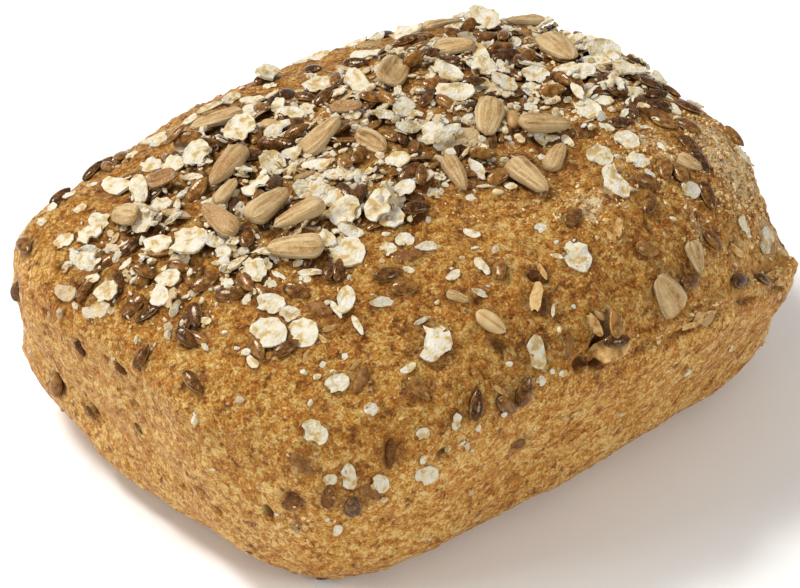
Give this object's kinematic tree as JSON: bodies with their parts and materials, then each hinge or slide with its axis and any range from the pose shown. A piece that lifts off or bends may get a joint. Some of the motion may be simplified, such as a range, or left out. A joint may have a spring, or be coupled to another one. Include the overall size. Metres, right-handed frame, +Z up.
{
  "type": "seeded bread roll",
  "caption": "Small tin-baked wholegrain bread roll with a flat base, leaning sides, a soft ledge and a domed top strewn with seeds and oat flakes.",
  "frame": {"origin": "middle of the flat base, on the surface that the roll rests on", "axes": "+Z up from the base to the crown, +X along the longer side towards the end where the ledge overhangs, +Y across it"},
  "size_m": [0.121, 0.0994, 0.0507],
  "materials": {
    "crust": "baked wholegrain bread crust, golden brown and matt, mottled with bran, with small pores and a floury bloom",
    "sunflower_kernel": "roasted sunflower kernel, grey-tan with a fine grain along it, satin",
    "flaxseed": "brown flaxseed, smooth and glossy, with a paler edge",
    "oat_flake": "rolled oat flake, cream white and matt, with a tan crease",
    "cereal_grain": "cut golden grain and bran, satin"
  },
  "bodies": {
    "root": {"bread_roll": "crust"}
  },
  "joints": []
}
